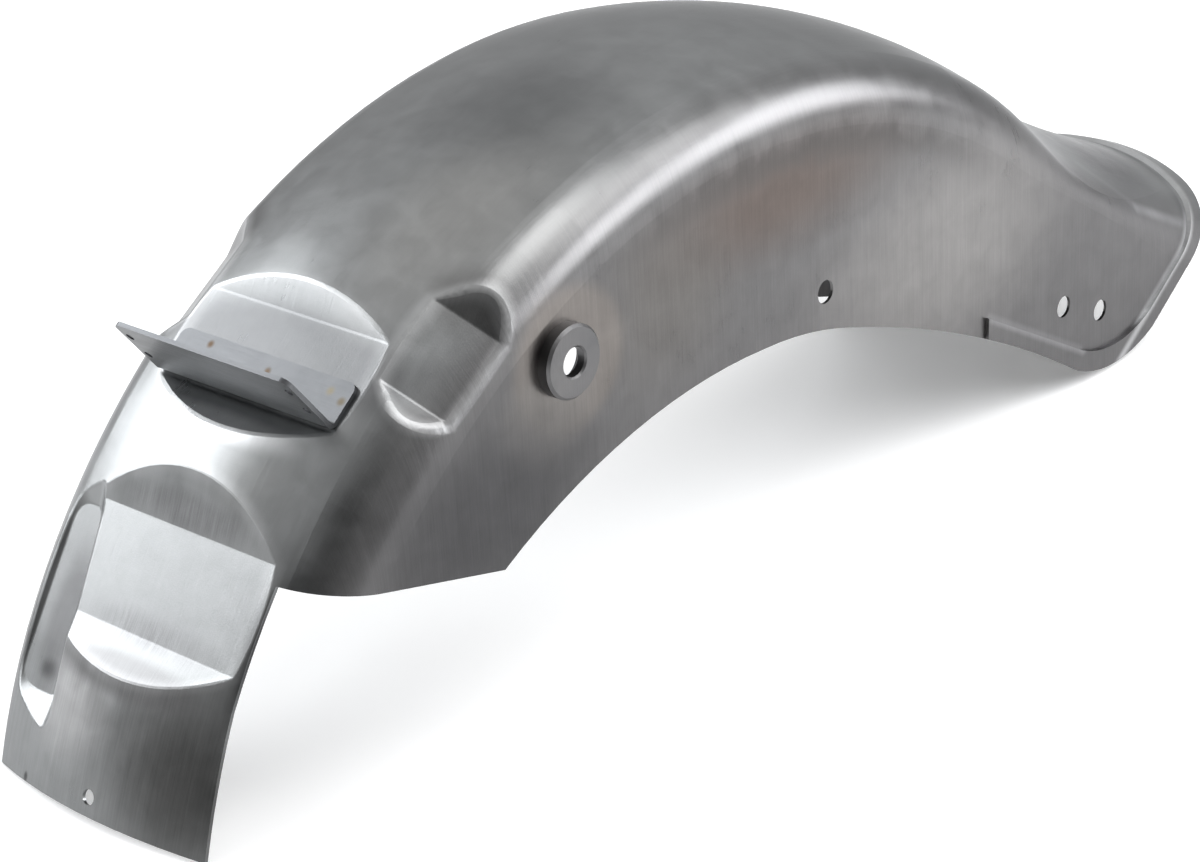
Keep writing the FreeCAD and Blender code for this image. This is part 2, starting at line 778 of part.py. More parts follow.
def make_bracket():
    """A folded angle spot-welded across the upper seat, with two holes near each end."""
    body = make_body("CrossBracket")
    body.Label = "cross_bracket"
    sketch = side_sketch(body, "BracketAngle", size("upper_seat_angle"))
    floor, wall = size("crown_radius") - size("upper_seat_depth"), size("bracket_wall")
    heel = -size("upper_seat_length") / 2 + size("bracket_setback")
    fold = size("bracket_fold")
    corners = [
        (heel + wall + fold, floor),
        (heel + size("bracket_base"), floor),
        (heel + size("bracket_base"), floor + wall),
        (heel + wall + fold, floor + wall),
        (heel + wall, floor + wall + fold),
        (heel + wall, floor + size("bracket_flange")),
        (heel, floor + size("bracket_flange")),
        (heel, floor + wall + fold),
    ]
    draw_outline(sketch, corners, {3: (fold, -1), 7: (fold + wall, 1)})
    pad = make_pad(body, sketch, size("bracket_length"))
    doc.recompute()
    corner_edges = [
        f"Edge{number}"
        for number, edge in enumerate(pad.Shape.Edges, start=1)
        if edge.BoundBox.YLength < 1e-3 and abs(edge.Length - wall.value) < 1e-3
    ]
    rounded = body.newObject("PartDesign::Fillet", "BracketCorners")
    rounded.Base = (pad, corner_edges)
    rounded.Radius = size("bracket_corner").value
    rounded.setExpression("Radius", "Sizes.bracket_corner")
    holes = section_sketch(body, "BracketHoles", size("upper_seat_angle"))
    for hand in (-1, 1):
        for step in (0, 1):
            rise = floor + size("bracket_hole_low") + size("bracket_hole_pitch") * step
            draw_circle(holes, size("bracket_hole_span") * (hand / 2), rise, size("bracket_hole"))
    pocket = body.newObject("PartDesign::Pocket", "BracketHolePocket")
    pocket.Profile = holes
    pocket.Type = "ThroughAll"
    pocket.Midplane = True
    return body


def check_document():
    doc.recompute()
    for item in doc.Objects:
        if "Invalid" in item.State or "Error" in item.State:
            raise RuntimeError(f"{item.Name} failed: {item.State}")


def check_solid(item):
    shape = item.Shape
    if shape.isNull() or not shape.isValid() or len(shape.Solids) != 1:
        raise RuntimeError(f"{item.Label} is not one valid solid")


def stand_on_origin(pieces, shell):
    """Moves every piece so that the fender stands on Z = 0 with its box centred on the origin."""
    box = shell.Shape.optimalBoundingBox(False, False)
    shift = FreeCAD.Vector(-box.Center.x, 0, -box.ZMin)
    for piece in pieces:
        piece.Placement = FreeCAD.Placement(shift + piece.Placement.Base, piece.Placement.Rotation)
    doc.recompute()
    print("wheel axis at", round(shift.x, 3), round(shift.z, 3))


def main():
    shell = make_shell()
    pieces = [
        shell,
        make_bracket(),
        make_boss("BossLeft", "boss_left", -1),
        make_boss("BossRight", "boss_right", 1),
    ]
    check_document()
    stand_on_origin(pieces, shell)
    os.makedirs("parts", exist_ok=True)
    for piece in pieces:
        check_solid(piece)
        piece.Shape.exportStep(f"parts/{piece.Label}.step")
        box = piece.Shape.optimalBoundingBox(False, False)
        print(piece.Label, round(piece.Shape.Volume, 1), [round(v, 2) for v in (
            box.XMin, box.XMax, box.YMin, box.YMax, box.ZMin, box.ZMax)])


main()
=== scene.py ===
import bpy
import math
from mathutils import Euler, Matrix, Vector

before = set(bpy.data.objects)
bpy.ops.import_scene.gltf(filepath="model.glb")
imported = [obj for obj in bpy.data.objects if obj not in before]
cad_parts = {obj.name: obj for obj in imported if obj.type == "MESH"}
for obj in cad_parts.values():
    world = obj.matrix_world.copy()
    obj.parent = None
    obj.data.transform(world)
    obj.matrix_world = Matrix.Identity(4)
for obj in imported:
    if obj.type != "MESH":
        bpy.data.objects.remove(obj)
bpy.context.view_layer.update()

# Lengths are in metres. The wheel axis runs along Y through this run and height.
wheelAxis = {"x": -0.033043, "z": -0.112541}

cameraSetup = {
    "fromAxle": (-0.97501, -0.88477, 0.77414),
    "turn": (64.845, 2.738, -48.561),  # degrees about X, Y and Z
    "focalPixels": 3162.5,
    "middlePixel": (602.14, 437.23),
    "imagePixels": (1200, 862),
    "sensorWidth": 36.0,
    "reach": (0.05, 60.0),
}

floorSetup = {"size": 14.0, "color": (0.93, 0.93, 0.93), "roughness": 0.75, "glow": 0.17}

lampSetups = {
    "sideBox": {
        "place": (1.15, -1.33, 0.68), "aim": (-0.1, -0.08, 0.16), "size": (1.55, 0.66), "power": 30.5,
        "color": (0.97, 0.98, 1.0)},
    "highBox": {
        "place": (0.19, -0.75, 1.82), "aim": (-0.17, -0.07, 0.2), "size": (0.75, 0.95), "power": 9.0,
        "color": (1.0, 1.0, 1.0)},
    "midBox": {
        "place": (0.67, -1.05, 1.25), "aim": (-0.13, -0.07, 0.18), "size": (0.9, 0.5), "power": 6.0,
        "color": (1.0, 1.0, 1.0)},
    "backBox": {
        "place": (-0.76, 1.3, 0.88), "aim": (-0.28, 0.0, 0.14), "size": (1.1, 0.98), "power": 20.5,
        "color": (0.96, 0.98, 1.0)},
}

skySetup = {
    "rise": 0.6,  # the height at which the sky is at its palest
    "shades": (0.8, 1.12),  # at the horizon and overhead
    "darkSide": (-0.82, -0.42, 0.38),  # towards the unlit end of the studio
    "darkReach": (0.55, 0.98),
    "darkest": 0.12,
}


def feed(tree, socket, value):
    if isinstance(value, bpy.types.NodeSocket):
        tree.links.new(value, socket)
    else:
        socket.default_value = value


def addNode(tree, kind, inputs, **settings):
    node = tree.nodes.new(kind)
    for name, value in settings.items():
        setattr(node, name, value)
    for name, value in inputs.items():
        feed(tree, node.inputs[name], value)
    return node


def doMath(tree, operation, first, second=0.0, **settings):
    return addNode(tree, "ShaderNodeMath", {0: first, 1: second}, operation=operation, **settings).outputs[0]


def vectorMath(tree, operation, first, second=(0.0, 0.0, 0.0)):
    node = addNode(tree, "ShaderNodeVectorMath", {0: first, 1: second}, operation=operation)
    gives = "Value" if operation in ("DOT_PRODUCT", "LENGTH", "DISTANCE") else "Vector"
    return node.outputs[gives]


def remap(tree, value, start, end, soft=False):
    inputs = {
        "Value": value, "From Min": start[0], "From Max": start[1], "To Min": end[0], "To Max": end[1]}
    style = "SMOOTHSTEP" if soft else "LINEAR"
    return addNode(tree, "ShaderNodeMapRange", inputs, interpolation_type=style).outputs["Result"]


def blend(tree, factor, first, second):
    return addNode(tree, "ShaderNodeMix", {0: factor, 2: first, 3: second}).outputs[0]


def mixColors(tree, factor, first, second, style="MIX"):
    node = addNode(tree, "ShaderNodeMix", {}, data_type="RGBA", blend_type=style)
    feed(tree, node.inputs[0], factor)
    feed(tree, node.inputs[6], first)
    feed(tree, node.inputs[7], second)
    return node.outputs[2]


def joinAxes(tree, x, y, z=0.0):
    return addNode(tree, "ShaderNodeCombineXYZ", {"X": x, "Y": y, "Z": z}).outputs[0]


def splitAxes(tree, vector):
    return addNode(tree, "ShaderNodeSeparateXYZ", {0: vector}).outputs


def makeCamera(setup):
    width, height = setup["imagePixels"]
    data = bpy.data.cameras.new("photoCamera")
    data.sensor_width = setup["sensorWidth"]
    data.lens = setup["focalPixels"] / width * data.sensor_width
    data.shift_x = (width / 2 - setup["middlePixel"][0]) / width
    data.shift_y = (setup["middlePixel"][1] - height / 2) / width
    data.clip_start, data.clip_end = setup["reach"]
    camera = bpy.data.objects.new("photoCamera", data)
    bpy.context.scene.collection.objects.link(camera)
    alongX, alongY, alongZ = setup["fromAxle"]
    camera.location = (alongX + wheelAxis["x"], alongY, alongZ + wheelAxis["z"])
    camera.rotation_euler = Euler([math.radians(angle) for angle in setup["turn"]], "XYZ")
    bpy.context.scene.camera = camera
    print("camera set at", [round(value, 3) for value in camera.location])


def makeLamps(setups):
    for name, setup in setups.items():
        data = bpy.data.lights.new(name, "AREA")
        data.shape = "RECTANGLE"
        data.size, data.size_y = setup["size"]
        data.energy = setup["power"]
        data.color = setup["color"]
        lamp = bpy.data.objects.new(name, data)
        bpy.context.scene.collection.objects.link(lamp)
        lamp.location = setup["place"]
        outlook = Vector(setup["aim"]) - Vector(setup["place"])
        lamp.rotation_euler = outlook.to_track_quat("-Z", "Y").to_euler()
    print("lamps:", ", ".join(setups))


# The sky pales overhead and darkens towards one end of the studio.
def makeSky(setup):
    world = bpy.data.worlds.new("studioSky")
    bpy.context.scene.world = world
    world.use_nodes = True
    tree = world.node_tree
    tree.nodes.clear()
    outlook = addNode(tree, "ShaderNodeTexCoord", {}).outputs["Generated"]
    pale = remap(tree, splitAxes(tree, outlook)["Z"], (0.0, setup["rise"]), setup["shades"], soft=True)
    toDark = vectorMath(tree, "DOT_PRODUCT", outlook, setup["darkSide"])
    dark = remap(tree, toDark, setup["darkReach"], (1.0, setup["darkest"]), soft=True)
    fill = addNode(tree, "ShaderNodeBackground", {"Strength": doMath(tree, "MULTIPLY", pale, dark)})
    addNode(tree, "ShaderNodeOutputWorld", {"Surface": fill.outputs[0]})
    print("sky set")


def makeFloor(setup):
    bpy.ops.mesh.primitive_plane_add(size=setup["size"], location=(0, 0, 0))
    floor = bpy.context.object
    floor.name = "paleFloor"
    material = bpy.data.materials.new("paleFloor")
    material.use_nodes = True
    tree = material.node_tree
    surface = tree.nodes["Principled BSDF"]
    surface.inputs["Base Color"].default_value = (*setup["color"], 1)
    surface.inputs["Roughness"].default_value = setup["roughness"]
    # A little light of the floor's own, for the camera and for what mirrors in the steel.
    rays = addNode(tree, "ShaderNodeLightPath", {}).outputs
    seen = doMath(tree, "ADD", rays["Is Camera Ray"], rays["Is Glossy Ray"])
    seen = doMath(tree, "ADD", seen, rays["Is Transmission Ray"])
    feed(tree, surface.inputs["Emission Strength"], doMath(tree, "MULTIPLY", seen, setup["glow"]))
    surface.inputs["Emission Color"].default_value = (1, 1, 1, 1)
    floor.data.materials.append(material)
    print("floor laid")


def dressNode(name, material):
    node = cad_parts[name]
    node.data.materials.clear()
    node.data.materials.append(material)
    print("dressed", name)


def newGroup(name, takes, gives):
    tree = bpy.data.node_groups.new(name, "ShaderNodeTree")
    for label, kind in takes.items():
        tree.interface.new_socket(name=label, in_out="INPUT", socket_type=kind)
    tree.interface.new_socket(name=gives, in_out="OUTPUT", socket_type="NodeSocketFloat")
    given = tree.nodes.new("NodeGroupInput").outputs
    result = tree.nodes.new("NodeGroupOutput").inputs[gives]
    return tree, given, result


def useGroup(tree, group, inputs):
    return addNode(tree, "ShaderNodeGroup", inputs, node_tree=group).outputs[0]


# The effects below are node groups. Each gives a value from 0 to 1 over the surface.
brushNoise = {
    "fine": {"Scale": 1.0, "Detail": 4.0, "Roughness": 0.7},
    "wide": {"Scale": 0.22, "Detail": 2.0},
    "wideShare": 0.25,
    "spread": (0.3, 0.7),
}
cloudNoise = {"distortion": 0.4, "spread": (0.32, 0.68)}
seatFaces = ["Floor", "High", "Low"]


# Fine lines of a brush, long along Y and Z.
def makeBrushLines():
    takes = {"Vector": "NodeSocketVector", "Across": "NodeSocketFloat", "Along": "NodeSocketFloat"}
    tree, given, result = newGroup("brushLines", takes, "Lines")
    stretch = joinAxes(tree, given["Across"], given["Along"], given["Along"])
    place = vectorMath(tree, "MULTIPLY", given["Vector"], stretch)
    fine = addNode(tree, "ShaderNodeTexNoise", {"Vector": place, **brushNoise["fine"]}).outputs["Fac"]
    wide = addNode(tree, "ShaderNodeTexNoise", {"Vector": place, **brushNoise["wide"]}).outputs["Fac"]
    both = blend(tree, brushNoise["wideShare"], fine, wide)
    feed(tree, result, remap(tree, both, brushNoise["spread"], (0.0, 1.0)))
    return tree


def makeCloudMottle():
    takes = {"Vector": "NodeSocketVector", "Scale": "NodeSocketFloat", "Detail": "NodeSocketFloat"}
    tree, given, result = newGroup("cloudMottle", takes, "Clouds")
    noise = addNode(tree, "ShaderNodeTexNoise", {
        "Vector": given["Vector"], "Scale": given["Scale"], "Detail": given["Detail"],
        "Distortion": cloudNoise["distortion"]})
    feed(tree, result, remap(tree, noise.outputs["Fac"], cloudNoise["spread"], (0.0, 1.0)))
    return tree


# An ellipsoid that fades out over its outer part.
def makeSoftSpot():
    takes = {"Vector": "NodeSocketVector", "Centre": "NodeSocketVector", "Radii": "NodeSocketVector",
             "Softness": "NodeSocketFloat"}
    tree, given, result = newGroup("softSpot", takes, "Mask")
    away = vectorMath(tree, "SUBTRACT", given["Vector"], given["Centre"])
    reach = vectorMath(tree, "LENGTH", vectorMath(tree, "DIVIDE", away, given["Radii"]))
    inner = doMath(tree, "SUBTRACT", 1.0, given["Softness"])
    feed(tree, result, remap(tree, reach, (inner, 1.0), (1.0, 0.0), soft=True))
    return tree


# A soft line from a start along a run.
def makeLineMark():
    takes = {"Vector": "NodeSocketVector", "Start": "NodeSocketVector", "Run": "NodeSocketVector",
             "Width": "NodeSocketFloat"}
    tree, given, result = newGroup("lineMark", takes, "Mask")
    away = vectorMath(tree, "SUBTRACT", given["Vector"], given["Start"])
    ahead = vectorMath(tree, "DOT_PRODUCT", away, given["Run"])
    whole = vectorMath(tree, "DOT_PRODUCT", given["Run"], given["Run"])
    part = doMath(tree, "DIVIDE", ahead, whole, use_clamp=True)
    nearest = addNode(tree, "ShaderNodeVectorMath", {0: given["Run"], "Scale": part}, operation="SCALE")
    gap = vectorMath(tree, "DISTANCE", away, nearest.outputs["Vector"])
    feed(tree, result, remap(tree, gap, (0.0, given["Width"]), (1.0, 0.0), soft=True))
    return tree


# The line along which a pressed seat breaks out of the crown, where the lowest of its planes meets it.
def makeSeatRim():
    takes = {"Vector": "NodeSocketVector", "Depth": "NodeSocketFloat", "Width": "NodeSocketFloat"}
    for face in seatFaces:
        takes[face + " Normal"] = "NodeSocketVector"
        takes[face + " Height"] = "NodeSocketFloat"
    tree, given, result = newGroup("seatRim", takes, "Rim")
    lowest = None
    for face in seatFaces:
        along = vectorMath(tree, "DOT_PRODUCT", given["Vector"], given[face + " Normal"])
        over = doMath(tree, "SUBTRACT", along, given[face + " Height"])
        lowest = over if lowest is None else doMath(tree, "MINIMUM", lowest, over)
    offSeat = doMath(tree, "ABSOLUTE", lowest)
    offCrown = doMath(tree, "ABSOLUTE", given["Depth"])
    away = doMath(tree, "ADD", offSeat, offCrown)
    feed(tree, result, remap(tree, away, (0.0, given["Width"]), (1.0, 0.0), soft=True))
    return tree


brushLines = makeBrushLines()
cloudMottle = makeCloudMottle()
softSpot = makeSoftSpot()
seatRim = makeSeatRim()
lineMark = makeLineMark()
print("effects built")


def newSteel(name):
    material = bpy.data.materials.new(name)
    material.use_nodes = True
    tree = material.node_tree
    surface = tree.nodes["Principled BSDF"]
    surface.inputs["Metallic"].default_value = 1.0
    place = addNode(tree, "ShaderNodeTexCoord", {}).outputs["Object"]
    return material, tree, surface, place


def findSpot(tree, place, spot):
    return useGroup(tree, softSpot, {
        "Vector": place, "Centre": spot["centre"], "Radii": spot["radii"], "Softness": spot["softness"]})


def paint(tree, color, mask, mark):
    cover = doMath(tree, "MULTIPLY", mask, mark["cover"])
    return mixColors(tree, cover, color, (*mark["color"], 1))


def raiseBump(tree, surface, height, bump):
    node = addNode(tree, "ShaderNodeBump", {
        "Height": height, "Strength": bump["strength"], "Distance": bump["distance"]})
    feed(tree, surface.inputs["Normal"], node.outputs[0])


shellFinish = {
    "paleSteel": (0.25, 0.256, 0.258),
    "darkSteel": (0.2, 0.206, 0.208),
    # The skirts get a darker copy of the steel: painted shade for the light they mirror.
    "skirtShadedSteel": (0.118, 0.116, 0.117),
    "skirtEdge": (0.06, 0.083),  # half widths between which the crown turns into the skirts
    "edgeTint": (0.8, 0.8, 0.81),
    "roughness": (0.24, 0.3),
    "clouds": {"Scale": 9.0, "Detail": 4.0},
    "patina": {"Scale": 70.0, "Detail": 7.0},
    "patinaColor": (0.92, 1.06),
    "patinaRoughness": 0.05,
    "brush": {"Across": 1100.0, "Along": 30.0},
    "brushColor": {"skirt": 0.1, "crown": 0.02, "apron": 0.12},
    "brushRoughness": 0.05,
    "apron": {"centre": (-0.35, 0.0, 0.03), "radii": (0.05, 0.12, 0.07), "softness": 0.6},
    "seatBrush": {"Across": 1900.0, "Along": 60.0},
    "crescentShadeStreak": (0.15, 0.15, 0.154),
    # The colour of the painted highlights on the seat rims and along the lip.
    "rimHighlight": (0.5, 0.505, 0.51),
    "grain": {"Scale": 1400.0, "Detail": 2.0},
    "bump": {"strength": 0.12, "distance": 0.0002},
}

# A dark band of painted shade that runs round the wheel axis just under the shoulders.
shoulderShadeBand = {
    "radius": 0.306, "width": 0.012, "ragged": 0.006, "color": (0.07, 0.066, 0.064), "cover": 0.75,
    "centre": (0.0, 0.0, 0.16), "radii": (0.18, 0.2, 0.12), "softness": 0.6}

# A painted highlight along the lip where the edge strip steps out, from its foot up a slope in degrees.
lipHighlight = {"foot": (0.3115, 0.1233), "slope": 34.5, "width": 0.0105, "soft": 0.004, "cover": 0.6}

# Each mark has a centre, radii, a softness, a color and how far it covers. Later marks lie on top.
shellMarks = {
    # Rosy tint on the near skirt, with painted shade under the shoulder highlight.
    "rosyTintAndShade": {
        "centre": (-0.02, -0.083, 0.175), "radii": (0.12, 0.03, 0.036), "softness": 0.9,
        "color": (0.098, 0.079, 0.07), "cover": 0.85},
    "tanFrontSkirt": {
        "centre": (-0.095, -0.083, 0.152), "radii": (0.06, 0.03, 0.05), "softness": 0.9,
        "color": (0.115, 0.108, 0.101), "cover": 0.6},
    "coolRearSkirt": {
        "centre": (0.1, -0.083, 0.11), "radii": (0.13, 0.03, 0.07), "softness": 0.8,
        "color": (0.212, 0.207, 0.202), "cover": 0.75},
    "groundRoundBoss": {
        "centre": (-0.157, -0.083, 0.148), "radii": (0.037, 0.03, 0.036), "softness": 0.25,
        "color": (0.16, 0.147, 0.137), "cover": 0.85},
    "groundUnderBoss": {
        "centre": (-0.172, -0.083, 0.13), "radii": (0.034, 0.03, 0.03), "softness": 0.6,
        "color": (0.19, 0.18, 0.172), "cover": 0.6},
    "darkFrontSkirt": {
        "centre": (-0.21, -0.083, 0.1), "radii": (0.1, 0.03, 0.06), "softness": 0.8,
        "color": (0.06, 0.06, 0.062), "cover": 0.85},
    # Painted shade on the channel's floor.
    "channelFloorShade": {
        "centre": (-0.322, 0.05, 0.06), "radii": (0.035, 0.013, 0.045), "softness": 0.6,
        "color": (0.15, 0.151, 0.154), "cover": 0.8},
    "channelSmudge": {
        "centre": (-0.334, 0.05, 0.041), "radii": (0.008, 0.008, 0.006), "softness": 0.9,
        "color": (0.06, 0.06, 0.062), "cover": 0.8},
    "darkApron": {
        "centre": (-0.345, -0.045, 0.025), "radii": (0.05, 0.055, 0.06), "softness": 0.85,
        "color": (0.075, 0.075, 0.074), "cover": 0.9},
    # Painted shade in the tail's valley.
    "tailValleyShade": {
        "centre": (0.285, 0.0, 0.095), "radii": (0.085, 0.1, 0.055), "softness": 0.6,
        "color": (0.1, 0.102, 0.106), "cover": 0.85},
    # Painted shade in the tail's hollows, on both sides.
    "tailHollowShade": {
        "centre": (0.287, 0.05, 0.088), "radii": (0.046, 0.03, 0.032), "softness": 0.8,
        "color": (0.08, 0.081, 0.084), "cover": 0.7, "bothSides": True},
    # Painted shade on the high walls of the corner seats.
    "cornerHighWallShade": {
        "centre": (-0.194, 0.065, 0.184), "radii": (0.02, 0.022, 0.018), "softness": 0.6,
        "color": (0.11, 0.11, 0.11), "cover": 0.7, "bothSides": True},
    # Painted light on the seat wall under the bracket, where shade falls.
    "underBracketPaintedLight": {
        "centre": (-0.272, 0.0, 0.1415), "radii": (0.009, 0.055, 0.009), "softness": 0.6,
        "color": (0.45, 0.455, 0.46), "cover": 0.7},
    "apronNick": {
        "centre": (-0.358, 0.043, 0.0045), "radii": (0.002, 0.002, 0.0035), "softness": 0.7,
        "color": (0.05, 0.05, 0.05), "cover": 0.9},
    # Painted shade on the floor of the upper seat.
    "upperSeatFloorShade": {
        "centre": (-0.24, -0.005, 0.163), "radii": (0.03, 0.09, 0.024), "softness": 0.5,
        "color": (0.108, 0.11, 0.113), "cover": 0.85},
    # Painted shade on the crown between the seats.
    "crownBetweenSeatsShade": {
        "centre": (-0.284, -0.03, 0.131), "radii": (0.03, 0.028, 0.03), "softness": 0.9,
        "color": (0.12, 0.122, 0.12), "cover": 0.7},
    # Painted light on the apron.
    "apronPaintedLight": {
        "centre": (-0.348, 0.024, 0.042), "radii": (0.035, 0.034, 0.03), "softness": 0.9,
        "color": (0.42, 0.42, 0.425), "cover": 0.8},
    "lowerSeatWall": {
        "centre": (-0.338, -0.005, 0.058), "radii": (0.012, 0.055, 0.012), "softness": 0.5,
        "color": (0.15, 0.15, 0.152), "cover": 0.8},
    # Painted light: a glow on the crown at the front.
    "crownFrontPaintedLight": {
        "centre": (-0.17, -0.04, 0.205), "radii": (0.1, 0.05, 0.06), "softness": 0.95,
        "color": (0.3, 0.3, 0.295), "cover": 0.8},
    # Painted shade on the middle of the crown.
    "crownMiddleShade": {
        "centre": (-0.105, -0.015, 0.228), "radii": (0.065, 0.06, 0.035), "softness": 0.9,
        "color": (0.13, 0.134, 0.136), "cover": 0.75},
    # Painted shadow along the apron's edge beside the lower seat.
    "apronEdgeShadow": {
        "centre": (-0.316, -0.0625, 0.078), "radii": (0.036, 0.013, 0.045), "softness": 0.7,
        "color": (0.035, 0.035, 0.037), "cover": 0.95},
}

# Painted highlights as lines on both sides of the shell, from start to end.
shellHighlightLines = {
    "stripTop": {
        "start": (0.136, 0.085, 0.0645), "end": (0.2147, 0.085, 0.0197), "width": 0.004,
        "color": (0.34, 0.34, 0.35), "cover": 0.4},
    "tailCreaseHigh": {
        "start": (0.24, 0.063, 0.105), "end": (0.27, 0.078, 0.077), "width": 0.005,
        "color": (0.34, 0.34, 0.35), "cover": 0.2},
    "tailCreaseLow": {
        "start": (0.27, 0.078, 0.077), "end": (0.316, 0.079, 0.054), "width": 0.005,
        "color": (0.34, 0.34, 0.35), "cover": 0.45},
}

# Darker crescents beside the bends of the lower seat: painted shade and reflection, streaked with drawing
# lines.
shellShadeCrescents = {
    "overHighBend": {"centre": (-0.295, -0.002, 0.112), "radii": (0.012, 0.055, 0.0105), "softness": 0.7},
    "overLowBend": {"centre": (-0.324, -0.005, 0.0705), "radii": (0.012, 0.052, 0.0105), "softness": 0.8},
}

# The seats as they are pressed: angles are in degrees about the wheel axis. Rim and cover give the width and
# strength of the painted highlight along each seat's rim.
pressedSeats = {
    "upper": {
        "angle": 52.4, "lean": 0.0, "depth": 0.0072, "length": 0.042, "slopes": (22.0, 20.0),
        "rim": 0.0022, "cover": 0.12},
    "lower": {
        "angle": 35.6, "lean": 0.0, "depth": 0.008, "length": 0.0462, "slopes": (11.5, 17.8),
        "rim": 0.002, "cover": 0.15},
    "near": {
        "angle": 56.8, "lean": -38.8, "depth": 0.049, "length": 0.04, "slopes": (15.0, 22.5),
        "rim": 0.0028, "cover": 0.42},
    "far": {
        "angle": 56.8, "lean": 38.8, "depth": 0.049, "length": 0.04, "slopes": (15.0, 22.5),
        "rim": 0.0028, "cover": 0.42},
}

# The hoop's cross-section: crown and roof arc, then the shoulder's arc and its centre.
hoopSection = {
    "crown": 0.35, "roofArc": 0.205, "shoulderArc": 0.03, "shoulderRun": 0.053, "shoulderRise": 0.31178,
    "roofEnd": 0.062}


def findSeatPlanes(seat):
    angle, lean = math.radians(seat["angle"]), math.radians(seat["lean"])
    flat = math.cos(lean)
    upward = Vector((-math.cos(angle) * flat, math.sin(lean), math.sin(angle) * flat))
    along = Vector((math.sin(angle), 0.0, math.cos(angle)))
    floor = hoopSection["crown"] - seat["depth"]
    planes = {"Floor Normal": upward, "Floor Height": floor}
    for face, slope, hand in (("High", seat["slopes"][0], -1), ("Low", seat["slopes"][1], 1)):
        slope = math.radians(slope)
        planes[face + " Normal"] = upward * math.cos(slope) + along * hand * math.sin(slope)
        planes[face + " Height"] = floor * math.cos(slope) - seat["length"] / 2 * math.sin(slope)
    return planes


# How far below the unpressed crown the surface lies.
def findCrownDepth(tree, across, radius):
    def roundDepth(run, rise, arc):
        reach = vectorMath(tree, "LENGTH", joinAxes(tree, run, rise))
        return doMath(tree, "SUBTRACT", arc, reach)

    section = hoopSection
    overRoof = doMath(tree, "SUBTRACT", radius, section["crown"] - section["roofArc"])
    roof = roundDepth(across, overRoof, section["roofArc"])
    run = doMath(tree, "MAXIMUM", doMath(tree, "SUBTRACT", across, section["shoulderRun"]))
    rise = doMath(tree, "MAXIMUM", doMath(tree, "SUBTRACT", radius, section["shoulderRise"]))
    shoulder = roundDepth(run, rise, section["shoulderArc"])
    onShoulder = doMath(tree, "GREATER_THAN", across, section["roofEnd"])
    return blend(tree, onShoulder, roof, shoulder)


def paintShoulderShade(tree, color, place, radius, patina, onSkirt):
    band = shoulderShadeBand
    ragged = doMath(tree, "ADD", radius, doMath(tree, "MULTIPLY", patina, band["ragged"]))
    offBand = doMath(tree, "SUBTRACT", ragged, band["radius"] + band["ragged"] / 2)
    inBand = remap(tree, doMath(tree, "ABSOLUTE", offBand), (0.0, band["width"]), (1.0, 0.0), soft=True)
    here = doMath(tree, "MULTIPLY", findSpot(tree, place, band), onSkirt)
    return paint(tree, color, doMath(tree, "MULTIPLY", inBand, here), band)


# Painted highlights along the rims of the pressed seats.
def paintSeatRimHighlights(tree, color, fromAxle, depth):
    rims = 0.0
    for seat in pressedSeats.values():
        rim = useGroup(tree, seatRim, {
            "Vector": fromAxle, "Depth": depth, "Width": seat["rim"], **findSeatPlanes(seat)})
        rims = doMath(tree, "MAXIMUM", rims, doMath(tree, "MULTIPLY", rim, seat["cover"]))
    return mixColors(tree, rims, color, (*shellFinish["rimHighlight"], 1))


def paintLipHighlight(tree, color, fromAxle):
    run, rise = lipHighlight["foot"]
    slope = math.radians(lipHighlight["slope"])
    inward = vectorMath(tree, "DOT_PRODUCT", fromAxle, (-math.sin(slope), 0.0, math.cos(slope)))
    edge = rise * math.cos(slope) - run * math.sin(slope)
    offLine = doMath(tree, "ABSOLUTE", doMath(tree, "SUBTRACT", inward, edge + lipHighlight["width"]))
    line = remap(tree, offLine, (0.0, lipHighlight["soft"]), (lipHighlight["cover"], 0.0), soft=True)
    return mixColors(tree, line, color, (*shellFinish["rimHighlight"], 1))


# Brush lines show most on the apron and the skirts, and hardly on the crown.
def findBrushShade(tree, place, lines, onSkirt):
    contrast = shellFinish["brushColor"]
    share = blend(tree, onSkirt, contrast["crown"], contrast["skirt"])
    share = blend(tree, findSpot(tree, place, shellFinish["apron"]), share, contrast["apron"])
    swing = remap(tree, lines, (0.0, 1.0), (-1.0, 1.0))
    return doMath(tree, "ADD", doMath(tree, "MULTIPLY", swing, share), 1.0)


